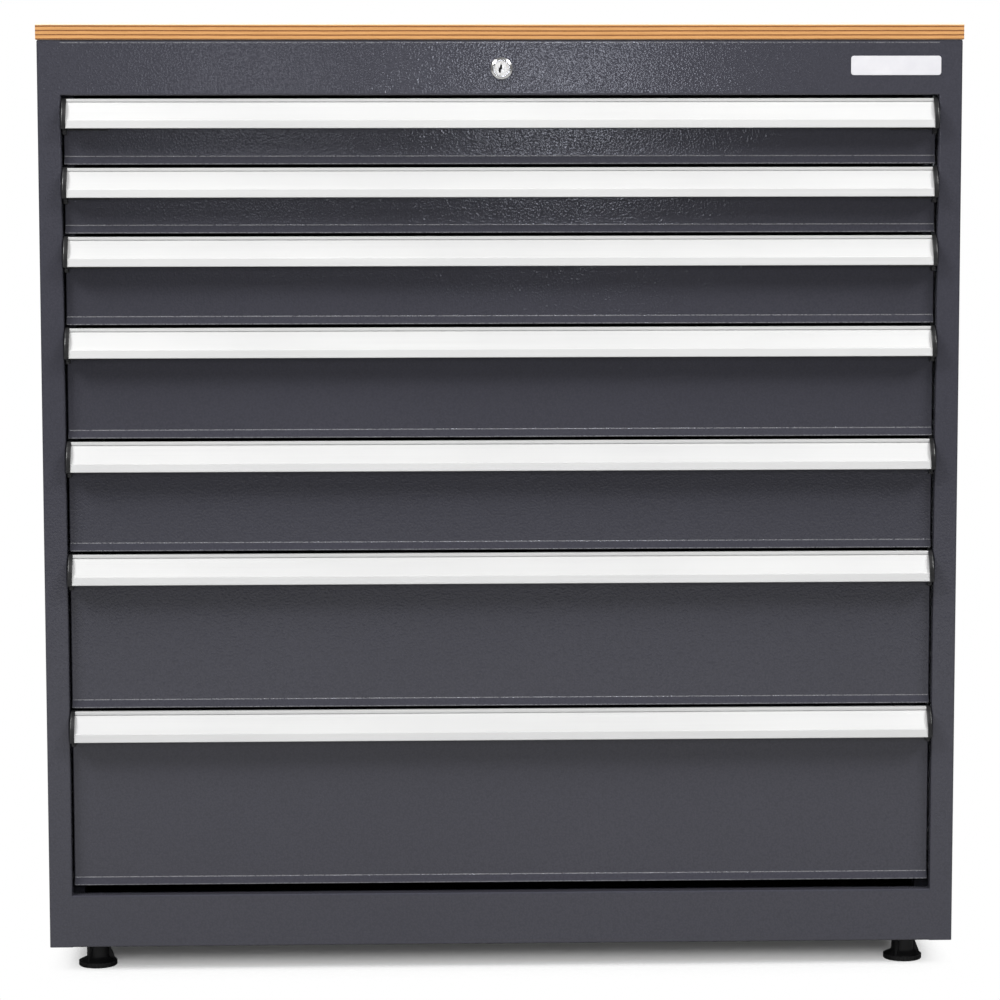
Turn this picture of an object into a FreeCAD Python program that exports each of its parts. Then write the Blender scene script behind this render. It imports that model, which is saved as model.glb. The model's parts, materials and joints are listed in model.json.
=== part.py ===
"""Tool cabinet with seven full-width drawers, as a parametric assembly in millimetres.

The cabinet frame has x to the right, y into the cabinet from the plane of the front stiles and z up
from the underside of the sheet body. Each drawer's pieces are drawn from the bottom of the drawer's
own cell. A Placement then carries every piece to the assembly's frame, whose origin lies on the
floor under the middle of the whole cabinet.
"""

import FreeCAD, Part
import math
import os

import Sketcher

DRAWERS = 7

SIZES = (
    # carcass
    ("body_width", 1010.0),
    ("body_depth", 724.0),
    ("header_height", 60.0),
    ("base_height", 58.5),
    ("sill_gap", 10.0),
    ("foot_height", 28.5),
    ("stile_width", 25.5),
    ("stile_return", 20.0),
    ("sheet_thick", 1.5),
    ("corner_round", 2.5),
    ("fold_round", 2.0),
    ("rear_flange", 20.0),
    ("header_flange", 20.0),
    ("header_lip", 8.0),
    ("ledge_depth", 17.0),
    ("ledge_drop", 12.0),
    ("back_thick", 1.0),
    ("back_margin", 0.5),
    ("worktop_thick", 18.0),
    ("worktop_overhang", 1.0),
    ("worktop_round", 1.0),
    # height of each drawer's cell, from the top drawer down
    ("pitch_1", 75.0),
    ("pitch_2", 75.0),
    ("pitch_3", 100.0),
    ("pitch_4", 125.0),
    ("pitch_5", 125.0),
    ("pitch_6", 175.0),
    ("pitch_7", 200.0),
    # drawer front
    ("front_gap", 3.5),
    ("front_side_gap", 2.0),
    ("front_recess", 10.0),
    ("front_depth", 18.0),
    ("front_skin", 1.2),
    ("front_round", 1.0),
    ("lip_height", 9.1),
    ("lip_reach", 3.0),
    # handle profile and its end caps
    ("handle_height", 32.2),
    ("handle_reach", 12.0),
    ("handle_set", 2.5),
    ("handle_wall", 1.8),
    ("handle_strip", 3.2),
    ("handle_groove", 1.0),
    ("handle_band", 9.2),
    ("handle_step", 1.8),
    ("handle_lean", 0.8),
    ("handle_arris", 0.4),
    ("handle_back", 30.0),
    ("cap_thick", 5.2),
    ("cap_gap", 0.5),
    ("cap_proud", 0.8),
    ("cap_rise", 1.0),
    ("cap_drop", 6.6),
    ("cap_crown", 42.0),
    ("cap_round", 1.8),
    ("cap_set", 0.6),
    ("cap_nose_drop", 23.2),
    ("cap_tuck", 1.2),
    ("cap_skirt", 0.8),
    ("tongue_length", 46.0),
    ("tongue_thick", 3.0),
    ("tongue_low", 2.2),
    ("tongue_height", 8.4),
    # drawer tray
    ("tray_skin", 1.0),
    ("tray_raise", 5.0),
    ("tray_headroom", 13.0),
    ("tray_rear_gap", 94.0),
    ("hem_height", 8.0),
    ("plate_inset", 1.5),
    # telescopic slides
    ("slide_space", 29.5),
    ("slide_level", 28.0),
    ("slide_height", 40.0),
    ("slide_thick", 19.0),
    ("slide_skin", 1.5),
    ("slide_lap", 3.0),
    ("fixed_lap", 5.0),
    ("slide_play", 0.4),
    ("web_play", 0.6),
    ("slide_set_back", 1.0),
    # slotted uprights
    ("upright_width", 30.0),
    ("upright_skin", 2.0),
    ("upright_front", 50.0),
    ("upright_rear_inset", 15.0),
    ("slot_width", 6.0),
    ("slot_height", 12.0),
    ("slot_pitch", 25.0),
    # cylinder lock
    ("lock_drop", 31.0),
    ("bezel_radius", 12.0),
    ("bezel_height", 3.4),
    ("bezel_bevel", 1.8),
    ("barrel_radius", 9.5),
    ("barrel_length", 20.0),
    ("barrel_play", 0.1),
    ("plug_radius", 8.5),
    ("plug_play", 0.05),
    ("plug_sink", 0.8),
    ("plug_tail", 2.5),
    ("key_width", 2.6),
    ("key_height", 9.0),
    ("key_depth", 14.0),
    ("cam_radius", 10.0),
    ("cam_thick", 2.5),
    ("cam_throw", 6.0),
    ("cam_pin_radius", 2.5),
    ("tail_radius", 4.0),
    # rod, bar and their guides
    ("rod_clear", 2.0),
    ("rod_thick", 2.0),
    ("rod_height", 20.0),
    ("rod_drop", 5.0),
    ("rod_tail", 13.0),
    ("rod_end_margin", 4.0),
    ("bar_thick", 3.0),
    ("bar_width", 12.0),
    ("bar_clear", 3.0),
    ("bar_inset", 1.5),
    ("bar_pin_radius", 3.0),
    ("bar_pin_drop", 9.0),
    ("pin_proud", 1.5),
    ("bar_play", 0.3),
    ("guide_wall", 2.2),
    ("guide_side", 1.2),
    ("guide_width", 12.0),
    ("guide_near", 60.0),
    ("guide_far", 80.0),
    ("tab_clear", 1.0),
    ("tab_height", 5.0),
    ("tab_lap", 7.0),
    ("catch_clear", 1.5),
    ("catch_height", 6.5),
    ("catch_length", 10.0),
    ("catch_reach", 12.0),
    ("catch_skin", 2.0),
    # levelling feet
    ("foot_inset", 50.0),
    ("foot_set_back", 38.0),
    ("disc_radius", 21.6),
    ("rim_height", 5.3),
    ("rim_bevel", 0.8),
    ("dome_set", 1.5),
    ("dome_rise", 2.8),
    ("rib_drop", 6.0),
    ("neck_radius", 12.5),
    ("rib_count", 3.0),
    ("rib_thick", 2.4),
    ("knurl_count", 30.0),
    ("knurl_radius", 1.1),
    ("knurl_set", 0.35),
    ("stud_radius", 5.0),
    ("stud_length", 45.0),
    ("collar_radius", 11.0),
    ("collar_height", 12.0),
    ("stud_play", 0.05),
)

doc = FreeCAD.newDocument("tool_cabinet")
sheet = doc.addObject("Spreadsheet::Sheet", "dims")
for row, (alias, size) in enumerate(SIZES, start=1):
    sheet.set(f"A{row}", alias)
    sheet.set(f"B{row}", str(size))
    sheet.setAlias(f"B{row}", alias)
doc.recompute()

# Sizes and places that follow from the cells, as expressions in the cabinet frame.
ALL_CELLS = " + ".join(f"dims.pitch_{number}" for number in range(1, DRAWERS + 1))
BODY_HEIGHT = f"(dims.base_height + dims.sill_gap + {ALL_CELLS} + dims.header_height)"
HALF_WIDTH = "(dims.body_width / 2)"
HALF_OPENING = f"({HALF_WIDTH} - dims.stile_width)"
SKIN = "dims.sheet_thick"
REAR = "(dims.body_depth - dims.back_thick)"
FRONT_REACH = "(dims.handle_reach + dims.cap_proud)"
FRONT_SHIFT = f"(({FRONT_REACH} - dims.body_depth - dims.worktop_overhang) / 2)"

FRONT_HALF = f"({HALF_OPENING} - dims.front_side_gap)"
FRONT_BACK = "(dims.front_recess + dims.front_depth)"
CAP_HALF = f"({HALF_OPENING} - dims.cap_gap)"
HANDLE_HALF = f"({CAP_HALF} - dims.cap_thick)"
PLATE_BACK = f"({FRONT_BACK} + dims.tray_skin)"
TRAY_HALF = f"({HALF_OPENING} - dims.slide_space)"
TRAY_OUTER = f"({TRAY_HALF} + dims.tray_skin)"
TRAY_REAR = "(dims.body_depth - dims.tray_rear_gap)"

SLIDE_START = f"({PLATE_BACK} + dims.slide_set_back)"
SLIDE_LENGTH = f"({TRAY_REAR} - {SLIDE_START})"
FIXED_WEB = f"({TRAY_OUTER} + dims.slide_thick)"
FIXED_HALF = "(dims.slide_height / 2)"
MID_WEB = f"({FIXED_WEB} - dims.slide_skin - dims.web_play)"
MID_HALF = f"({FIXED_HALF} - dims.slide_skin - dims.slide_play)"
INNER_TIP = f"({MID_WEB} - dims.slide_skin - dims.web_play)"
INNER_HALF = f"({MID_HALF} - dims.slide_skin - dims.slide_play)"

LOCK_LEVEL = f"({BODY_HEIGHT} - dims.lock_drop)"
PLUG_BACK = "(dims.barrel_length + dims.plug_tail)"
CAM_BACK = f"({PLUG_BACK} + dims.cam_thick)"
ROD_FRONT = f"({CAM_BACK} + dims.rod_clear)"
ROD_BACK = f"({ROD_FRONT} + dims.rod_thick)"
ROD_MIDDLE = f"({LOCK_LEVEL} - dims.rod_drop)"
BAR_FRONT = f"({ROD_BACK} + dims.bar_clear)"
BAR_BACK = f"({BAR_FRONT} + dims.bar_thick)"
BAR_INNER = f"({HALF_OPENING} - dims.bar_inset)"
BAR_OUTER = f"({BAR_INNER} + dims.bar_width)"
BAR_MIDDLE = f"(({BAR_INNER} + {BAR_OUTER}) / 2)"
BAR_PIN_LEVEL = f"({LOCK_LEVEL} - dims.bar_pin_drop)"
LOCK_TRAVEL = "(dims.cam_throw * sqrt(2))"
TAB_LOW = "(dims.slide_level + dims.slide_height / 2 + dims.tab_clear)"
CATCH_LOW = f"({TAB_LOW} + dims.tab_height + dims.catch_clear)"
CATCH_FRONT = f"({BAR_BACK} + dims.tab_clear)"


def cell_level(number):
    """Height of the bottom of a drawer's cell above the underside of the body."""
    below = [f"dims.pitch_{lower}" for lower in range(number + 1, DRAWERS + 1)]
    return "(" + " + ".join(["dims.base_height", "dims.sill_gap"] + below) + ")"


def front_height(number):
    """Height of a drawer's front, which is its cell less the gap to the next front."""
    return f"(dims.pitch_{number} - dims.front_gap)"


def number_of(expression):
    """What an expression on the sheet's cells comes to."""
    return float(sheet.evalExpression(expression))


def new_body(name):
    """An empty body under its node's name. It may hold several solids, such as a left and a right one."""
    body = doc.addObject("PartDesign::Body", name)
    body.Label = name
    body.AllowCompound = True
    return body


def origin_of(body, role):
    """The body's own origin plane or axis of that role."""
    return [feature for feature in body.Origin.OriginFeatures if feature.Role == role][0]


def new_sketch(body, role, start="0"):
    """An empty sketch on one of the body's planes, moved to the place `start` along its axis."""
    sketch = body.newObject("Sketcher::SketchObject", f"{body.Name}_sketch")
    sketch.AttachmentSupport = [(origin_of(body, role), "")]
    sketch.MapMode = "FlatFace"
    sign = "-1" if role == "XZ_Plane" else "1"
    sketch.setExpression("AttachmentOffset.Base.z", f"{sign} * ({start})")
    return sketch


def hold_point(sketch, geometry, position, across, up):
    """Tie a point of the sketch to two expressions, counted from the sketch's origin."""
    for kind, expression in (("DistanceX", across), ("DistanceY", up)):
        rule = Sketcher.Constraint(kind, geometry, position, number_of(expression))
        index = sketch.addConstraint(rule)
        sketch.setExpression(f"Constraints[{index}]", expression)


def arc_through(start, end, radius):
    """The arc under a half circle from start to end. A positive radius bulges to the right of the way."""
    chord = end - start
    side = FreeCAD.Vector(chord.y, -chord.x, 0).normalize()
    if radius < 0:
        side = side * -1
    rise = abs(radius) - math.sqrt(radius * radius - chord.Length * chord.Length / 4)
    return Part.Arc(start, (start + end) * 0.5 + side * rise, end)


def draw_outline(sketch, corners):
    """Close a line through the corners, each a pair of expressions.

    A third item makes the stretch that leaves the corner an arc of that radius, which bulges to the
    right of the way, or to the left where the expression starts with a minus sign.
    """
    points = [FreeCAD.Vector(number_of(corner[0]), number_of(corner[1]), 0) for corner in corners]
    stretches = []
    for index, corner in enumerate(corners):
        start = points[index]
        end = points[(index + 1) % len(points)]
        if len(corner) == 2:
            geometry = sketch.addGeometry(Part.LineSegment(start, end), False)
            stretches.append((geometry, 1, 2))
            continue
        radius = number_of(corner[2])
        geometry = sketch.addGeometry(arc_through(start, end, radius), False)
        ends = (1, 2) if radius > 0 else (2, 1)
        stretches.append((geometry,) + ends)
        size = corner[2].lstrip("-")
        index_of_rule = sketch.addConstraint(Sketcher.Constraint("Radius", geometry, abs(radius)))
        sketch.setExpression(f"Constraints[{index_of_rule}]", size)
    for index, (geometry, first, last) in enumerate(stretches):
        following, following_first, _ = stretches[(index + 1) % len(stretches)]
        sketch.addConstraint(Sketcher.Constraint("Coincident", geometry, last, following, following_first))
        hold_point(sketch, geometry, first, corners[index][0], corners[index][1])


def draw_rectangle(sketch, left, right, low, high):
    """A rectangle between two places across and two places up."""
    draw_outline(sketch, [(left, low), (right, low), (right, high), (left, high)])


def draw_circle(sketch, across, up, radius):
    """A circle about a point."""
    centre = FreeCAD.Vector(number_of(across), number_of(up), 0)
    circle = Part.Circle(centre, FreeCAD.Vector(0, 0, 1), number_of(radius))
    geometry = sketch.addGeometry(circle, False)
    hold_point(sketch, geometry, 3, across, up)
    index = sketch.addConstraint(Sketcher.Constraint("Radius", geometry, number_of(radius)))
    sketch.setExpression(f"Constraints[{index}]", radius)


def faces_away(sketch):
    """Whether the sketch's normal points against its axis, as it does on the xz plane."""
    return sketch.AttachmentSupport[0][0].Role == "XZ_Plane"


def pad(body, sketch, length, both_ways=False):
    """Add the sketch's outline, carried by `length` the positive way of its axis or half to each side."""
    feature = body.newObject("PartDesign::Pad", f"{body.Name}_pad")
    feature.Profile = sketch
    feature.setExpression("Length", length)
    if both_ways:
        feature.SideType = "Symmetric"
    else:
        feature.Reversed = faces_away(sketch)
    return feature


def pocket(body, sketch, length, both_ways=False):
    """Cut the sketch's outline, carried by `length` the positive way of its axis or half to each side."""
    feature = body.newObject("PartDesign::Pocket", f"{body.Name}_pocket")
    feature.Profile = sketch
    feature.setExpression("Length", length)
    if both_ways:
        feature.SideType = "Symmetric"
    else:
        feature.Reversed = not faces_away(sketch)
    return feature


def revolve(body, sketch, axis="H_Axis"):
    """Turn the sketch's outline a full turn about its own horizontal or upright axis."""
    feature = body.newObject("PartDesign::Revolution", f"{body.Name}_revolution")
    feature.Profile = sketch
    feature.ReferenceAxis = (sketch, [axis])
    feature.Angle = 360
    return feature


def mirror_all(body):
    """Repeat all that the body holds so far on the other side of the cabinet's middle plane."""
    doc.recompute()
    feature = body.newObject("PartDesign::Mirrored", f"{body.Name}_mirror")
    feature.MirrorPlane = (origin_of(body, "YZ_Plane"), [""])
    feature.TransformMode = "Whole shape"
    body.Tip = feature
    return feature


def polar_copies(body, feature, count):
    """Repeat one feature round the body's upright axis."""
    copies = body.newObject("PartDesign::PolarPattern", f"{body.Name}_ring")
    copies.Originals = [feature]
    copies.Axis = (origin_of(body, "Z_Axis"), [""])
    copies.Angle = 360
    copies.setExpression("Occurrences", count)
    body.Tip = copies
    return copies


def edges_on(shape, **places):
    """Names of the shape's edges whose ends all lie at the given x, y or z."""
    wanted = {axis: number_of(expression) for axis, expression in places.items()}
    names = []
    for index, edge in enumerate(shape.Edges, start=1):
        ends = [vertex.Point for vertex in edge.Vertexes]
        misses = [
            abs(getattr(end, axis) - place)
            for end in ends
            for axis, place in wanted.items()
        ]
        if misses and max(misses) < 0.001:
            names.append(f"Edge{index}")
    return names


def round_edges(body, radius, *where):
    """Round the edges that lie at the given places."""
    doc.recompute()
    shape = body.Tip.Shape
    names = []
    for places in where:
        names += edges_on(shape, **places)
    feature = body.newObject("PartDesign::Fillet", f"{body.Name}_rounds")
    feature.Base = (feature.BaseFeature, names)
    feature.setExpression("Radius", radius)
    return feature


def place(body, level="0", across="0", back="0"):
    """Carry a piece from the cabinet frame to the assembly's, with its own origin where it belongs."""
    body.setExpression("Placement.Base.x", across)
    body.setExpression("Placement.Base.y", f"{FRONT_SHIFT} + {back}")
    body.setExpression("Placement.Base.z", f"dims.foot_height + {level}")
    return body


def make_side(name, side):
    """Side panel in one with its front stile: a folded section carried up the whole height, with flanges.

    The stile's inner edge is bent round beside the drawers and square where the header and the plinth
    meet it flush. `side` is "1" on the right and "-1" on the left.
    """
    body = new_body(name)
    outer = f"({side} * {HALF_WIDTH})"
    wall = f"({side} * ({HALF_WIDTH} - {SKIN}))"
    stile = f"({side} * {HALF_OPENING})"
    fold = f"({side} * ({HALF_OPENING} + {SKIN}))"
    flange = f"({side} * ({HALF_WIDTH} - dims.rear_flange))"
    section = new_sketch(body, "XY_Plane")
    draw_outline(section, [
        (outer, "0"),
        (outer, REAR),
        (flange, REAR),
        (flange, f"{REAR} - {SKIN}"),
        (wall, f"{REAR} - {SKIN}"),
        (wall, SKIN),
        (fold, SKIN),
        (fold, "dims.stile_return"),
        (stile, "dims.stile_return"),
        (stile, "0"),
    ])
    pad(body, section, BODY_HEIGHT)
    for level in ("0", f"{BODY_HEIGHT} - {SKIN}"):
        plate = new_sketch(body, "XY_Plane", level)
        draw_rectangle(plate, stile, wall, SKIN, f"{REAR} - {SKIN}")
        pad(body, plate, SKIN)
    round_edges(
        body, "dims.corner_round",
        {"x": outer, "y": "0"}, {"x": outer, "y": REAR}, {"x": outer, "z": BODY_HEIGHT},
    )
    past = f"({stile} + {side} * dims.fold_round)"
    hollow = "dims.fold_round" if side == "-1" else "-dims.fold_round"
    bend = new_sketch(body, "XY_Plane", "dims.base_height")
    draw_outline(bend, [
        (stile, "0"),
        (past, "0", hollow),
        (stile, "dims.fold_round"),
    ])
    pocket(body, bend, f"{BODY_HEIGHT} - dims.header_height - dims.base_height")
    return place(body)


def make_top_pan():
    """Header and top plate, one sheet folded at the header's top, with a stiffened lower edge."""
    body = new_body("top_pan")
    low = f"({BODY_HEIGHT} - dims.header_height)"
    section = new_sketch(body, "YZ_Plane")
    draw_outline(section, [
        ("0", low),
        ("dims.header_flange", low),
        ("dims.header_flange", f"{low} + dims.header_lip"),
        (f"dims.header_flange - {SKIN}", f"{low} + dims.header_lip"),
        (f"dims.header_flange - {SKIN}", f"{low} + {SKIN}"),
        (SKIN, f"{low} + {SKIN}"),
        (SKIN, f"{BODY_HEIGHT} - {SKIN}"),
        (f"{REAR} - {SKIN}", f"{BODY_HEIGHT} - {SKIN}"),
        (f"{REAR} - {SKIN}", f"{BODY_HEIGHT} - dims.rear_flange"),
        (REAR, f"{BODY_HEIGHT} - dims.rear_flange"),
        (REAR, BODY_HEIGHT),
        ("0", BODY_HEIGHT),
    ])
    pad(body, section, f"2 * {HALF_OPENING}", both_ways=True)
    hole = new_sketch(body, "XZ_Plane")
    draw_circle(hole, "0", LOCK_LEVEL, "dims.barrel_radius + dims.barrel_play")
    pocket(body, hole, SKIN)
    round_edges(body, "dims.fold_round", {"y": "0", "z": BODY_HEIGHT}, {"y": "0", "z": low})
    return place(body)


def foot_places():
    """The four feet: the node's name, its place across and its place back from the front."""
    across = f"({HALF_WIDTH} - dims.foot_inset)"
    places = []
    for end, back in (("front", "dims.foot_set_back"), ("rear", "(dims.body_depth - dims.foot_set_back)")):
        places.append((f"foot_{end}_left", f"(-1 * {across})", back))
        places.append((f"foot_{end}_right", across, back))
    return places


def make_base_pan():
    """Plinth rail and floor plate, one folded sheet, with a threaded collar over each foot."""
    body = new_body("base_pan")
    section = new_sketch(body, "YZ_Plane")
    draw_outline(section, [
        ("0", "0"),
        (REAR, "0"),
        (REAR, "dims.rear_flange"),
        (f"{REAR} - {SKIN}", "dims.rear_flange"),
        (f"{REAR} - {SKIN}", SKIN),
        (SKIN, SKIN),
        (SKIN, f"dims.base_height - {SKIN}"),
        (f"dims.ledge_depth - {SKIN}", f"dims.base_height - {SKIN}"),
        (f"dims.ledge_depth - {SKIN}", "dims.base_height - dims.ledge_drop"),
        ("dims.ledge_depth", "dims.base_height - dims.ledge_drop"),
        ("dims.ledge_depth", "dims.base_height"),
        ("0", "dims.base_height"),
    ])
    pad(body, section, f"2 * {HALF_OPENING}", both_ways=True)
    collars = new_sketch(body, "XY_Plane", SKIN)
    for _, across, back in foot_places():
        draw_circle(collars, across, back, "dims.collar_radius")
    pad(body, collars, "dims.collar_height - dims.sheet_thick")
    threads = new_sketch(body, "XY_Plane")
    for _, across, back in foot_places():
        draw_circle(threads, across, back, "dims.stud_radius + dims.stud_play")
    pocket(body, threads, "dims.collar_height")
    round_edges(body, "dims.fold_round", {"y": "0", "z": "dims.base_height"}, {"y": "0", "z": "0"})
    return place(body)


def make_back_panel():
    """Flat back sheet over the rear flanges."""
    body = new_body("back_panel")
    outline = new_sketch(body, "XZ_Plane", REAR)
    half = f"({HALF_WIDTH} - dims.back_margin)"
    draw_rectangle(outline, f"-1 * {half}", half, "dims.back_margin", f"{BODY_HEIGHT} - dims.back_margin")
    pad(body, outline, "dims.back_thick")
    return place(body)


def make_worktop():
    """Plywood board with softened edges."""
    body = new_body("worktop")
    outline = new_sketch(body, "XY_Plane")
    half = f"({HALF_WIDTH} + dims.worktop_overhang)"
    near = "(-1 * dims.worktop_overhang)"
    far = "(dims.body_depth + dims.worktop_overhang)"
    draw_rectangle(outline, f"-1 * {half}", half, near, far)
    pad(body, outline, "dims.worktop_thick")
    round_edges(body, "dims.worktop_round", {"z": "0"}, {"z": "dims.worktop_thick"})
    return place(body, BODY_HEIGHT)


def make_uprights():
    """Four channels that stand against the sides, with a ladder of slots for the fixed slide members."""
    body = new_body("uprights")
    wall = f"({HALF_WIDTH} - {SKIN})"
    inner = f"({FIXED_WEB} + dims.upright_skin)"
    fronts = ("dims.upright_front", f"({TRAY_REAR} - dims.upright_rear_inset - dims.upright_width)")
    sections = new_sketch(body, "XY_Plane", SKIN)
    for near in fronts:
        far = f"({near} + dims.upright_width)"
        draw_outline(sections, [
            (FIXED_WEB, near),
            (wall, near),
            (wall, f"{near} + dims.upright_skin"),
            (inner, f"{near} + dims.upright_skin"),
            (inner, f"{far} - dims.upright_skin"),
            (wall, f"{far} - dims.upright_skin"),
            (wall, far),
            (FIXED_WEB, far),
        ])
    pad(body, sections, f"{BODY_HEIGHT} - 2 * {SKIN}")
    slots = new_sketch(body, "YZ_Plane", FIXED_WEB)
    for near in fronts:
        middle = f"({near} + dims.upright_width / 2)"
        low = "(dims.base_height - dims.slot_height / 2)"
        draw_rectangle(
            slots, f"{middle} - dims.slot_width / 2", f"{middle} + dims.slot_width / 2",
            low, f"{low} + dims.slot_height",
        )
    cut = pocket(body, slots, "dims.upright_skin")
    ladder = body.newObject("PartDesign::LinearPattern", "uprights_ladder")
    ladder.Originals = [cut]
    ladder.Direction = (origin_of(body, "Z_Axis"), [""])
    ladder.Mode = "Spacing"
    ladder.setExpression("Offset", "dims.slot_pitch")
    ladder.setExpression("Occurrences", f"floor(({BODY_HEIGHT} - 2 * dims.base_height) / dims.slot_pitch)")
    body.Tip = ladder
    mirror_all(body)
    return place(body)


def channel(web, inner, tip, half):
    """Corners of a channel section about the slide's level, with its web and its flanges' tips given."""
    low = f"(dims.slide_level - {half})"
    high = f"(dims.slide_level + {half})"
    return [
        (web, low),
        (tip, low),
        (tip, f"{low} + dims.slide_skin"),
        (inner, f"{low} + dims.slide_skin"),
        (inner, f"{high} - dims.slide_skin"),
        (tip, f"{high} - dims.slide_skin"),
        (tip, high),
        (web, high),
    ]


def make_fixed_rails():
    """The fourteen slide members on the cabinet: channels that open towards the drawers."""
    body = new_body("fixed_rails")
    sections = new_sketch(body, "XZ_Plane", SLIDE_START)
    tip = f"({TRAY_OUTER} + dims.fixed_lap)"
    for number in range(1, DRAWERS + 1):
        corners = channel(FIXED_WEB, f"({FIXED_WEB} - dims.slide_skin)", tip, FIXED_HALF)
        draw_outline(sections, [(across, f"{up} + {cell_level(number)}") for across, up in corners])
    pad(body, sections, SLIDE_LENGTH)
    mirror_all(body)
    return place(body)


def make_slide_mid(number):
    """Middle slide members of one drawer, which run inside the fixed ones."""
    body = new_body(f"slide_{number}_mid")
    section = new_sketch(body, "XZ_Plane", SLIDE_START)
    tip = f"({TRAY_OUTER} + dims.slide_lap)"
    draw_outline(section, channel(MID_WEB, f"({MID_WEB} - dims.slide_skin)", tip, MID_HALF))
    pad(body, section, SLIDE_LENGTH)
    mirror_all(body)
    return place(body, cell_level(number))


def make_drawer_rails(number):
    """Slide members on the drawer, which run inside the middle ones. The right one carries the catch."""
    body = new_body(f"drawer_{number}_rails")
    section = new_sketch(body, "XZ_Plane", SLIDE_START)
    inner = f"({TRAY_OUTER} + dims.slide_skin)"
    draw_outline(section, channel(TRAY_OUTER, inner, INNER_TIP, INNER_HALF))
    pad(body, section, SLIDE_LENGTH)
    mirror_all(body)
    high = f"({CATCH_LOW} + dims.catch_height)"
    upstand = new_sketch(body, "XZ_Plane", CATCH_FRONT)
    draw_outline(upstand, [
        (TRAY_OUTER, "dims.slide_level"),
        (f"{TRAY_OUTER} + dims.catch_skin", "dims.slide_level"),
        (f"{TRAY_OUTER} + dims.catch_skin", CATCH_LOW),
        (f"{TRAY_OUTER} + dims.catch_reach", CATCH_LOW),
        (f"{TRAY_OUTER} + dims.catch_reach", high),
        (TRAY_OUTER, high),
    ])
    pad(body, upstand, "dims.catch_length")
    return place(body, cell_level(number))


def make_tray(number):
    """Open sheet tray. Its front plate closes the back of the folded drawer front."""
    body = new_body(f"drawer_{number}_tray")
    low = "dims.tray_raise"
    high = f"(dims.pitch_{number} - dims.tray_headroom)"
    plate_half = f"({FRONT_HALF} - dims.plate_inset)"
    plate = new_sketch(body, "XZ_Plane", FRONT_BACK)
    draw_rectangle(
        plate, f"-1 * {plate_half}", plate_half,
        "dims.front_skin / 2", f"{front_height(number)} - dims.front_skin / 2",
    )
    pad(body, plate, "dims.tray_skin")
    block = new_sketch(body, "XY_Plane", low)
    draw_rectangle(block, f"-1 * {TRAY_OUTER}", TRAY_OUTER, PLATE_BACK, TRAY_REAR)
    pad(body, block, f"{high} - {low}")
    floor = f"({low} + dims.tray_skin)"
    mouth = new_sketch(body, "XY_Plane", floor)
    mouth_half = f"({TRAY_HALF} - dims.tray_skin)"
    draw_rectangle(mouth, f"-1 * {mouth_half}", mouth_half, PLATE_BACK, f"{TRAY_REAR} - 2 * dims.tray_skin")
    pocket(body, mouth, f"{high} - {floor}")
    inside = new_sketch(body, "XY_Plane", floor)
    draw_rectangle(inside, f"-1 * {TRAY_HALF}", TRAY_HALF, PLATE_BACK, f"{TRAY_REAR} - dims.tray_skin")
    pocket(body, inside, f"{high} - dims.hem_height - {floor}")
    return place(body, cell_level(number))


def make_front(number):
    """Folded drawer front, open at the back, with a lip that slopes outwards at its lower edge."""
    body = new_body(f"drawer_{number}_front")
    high = front_height(number)
    face = "dims.front_recess"
    lip = f"({face} - dims.lip_reach)"
    skin = "dims.front_skin"
    outer = new_sketch(body, "YZ_Plane")
    draw_outline(outer, [
        (lip, "0"),
        (face, "dims.lip_height"),
        (face, high),
        (FRONT_BACK, high),
        (FRONT_BACK, "0"),
    ])
    pad(body, outer, f"2 * {FRONT_HALF}", both_ways=True)
    inner = new_sketch(body, "YZ_Plane")
    draw_outline(inner, [
        (f"{lip} + {skin}", skin),
        (f"{face} + {skin}", f"dims.lip_height + {skin} / 4"),
        (f"{face} + {skin}", f"{high} - {skin}"),
        (FRONT_BACK, f"{high} - {skin}"),
        (FRONT_BACK, skin),
    ])
    pocket(body, inner, f"2 * ({FRONT_HALF} - {skin})", both_ways=True)
    round_edges(
        body, "dims.front_round",
        {"y": lip, "z": "0"}, {"x": FRONT_HALF, "y": face}, {"x": f"-1 * {FRONT_HALF}", "y": face},
    )
    return place(body, cell_level(number))


def make_handle(number):
    """Grip profile: a sloping face over a hooked lower band, with a back wall on the drawer front."""
    body = new_body(f"drawer_{number}_handle")
    top = front_height(number)
    wall = "dims.handle_wall"
    face_top = "(dims.handle_strip + dims.handle_groove)"
    face_low = "(dims.handle_height - dims.handle_band)"
    strip = "dims.handle_set"
    band = "(-1 * dims.handle_reach)"
    band_top = f"({band} + dims.handle_lean)"
    back = "dims.front_recess"
    section = new_sketch(body, "YZ_Plane")
    draw_outline(section, [
        (back, top),
        (strip, top),
        (strip, f"{top} - dims.handle_strip"),
        (f"{strip} + dims.handle_groove", f"{top} - dims.handle_strip"),
        (f"{strip} + dims.handle_groove", f"{top} - {face_top}"),
        (f"{strip} - dims.handle_groove / 2", f"{top} - {face_top}"),
        (f"{band_top} + dims.handle_step", f"{top} - {face_low}"),
        (band_top, f"{top} - {face_low} - dims.handle_arris"),
        (band, f"{top} - dims.handle_height"),
        (f"{band} + {wall}", f"{top} - dims.handle_height"),
        (f"{band_top} + {wall}", f"{top} - {face_low} - {wall}"),
        (f"{strip} + {wall}", f"{top} - {face_top} - {wall}"),
        (f"{strip} + 2 * {wall}", f"{top} - {wall}"),
        (f"{back} - {wall}", f"{top} - {wall}"),
        (f"{back} - {wall}", f"{top} - dims.handle_back"),
        (back, f"{top} - dims.handle_back"),
    ])
    pad(body, section, f"2 * {HANDLE_HALF}", both_ways=True)
    return place(body, cell_level(number))


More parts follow.
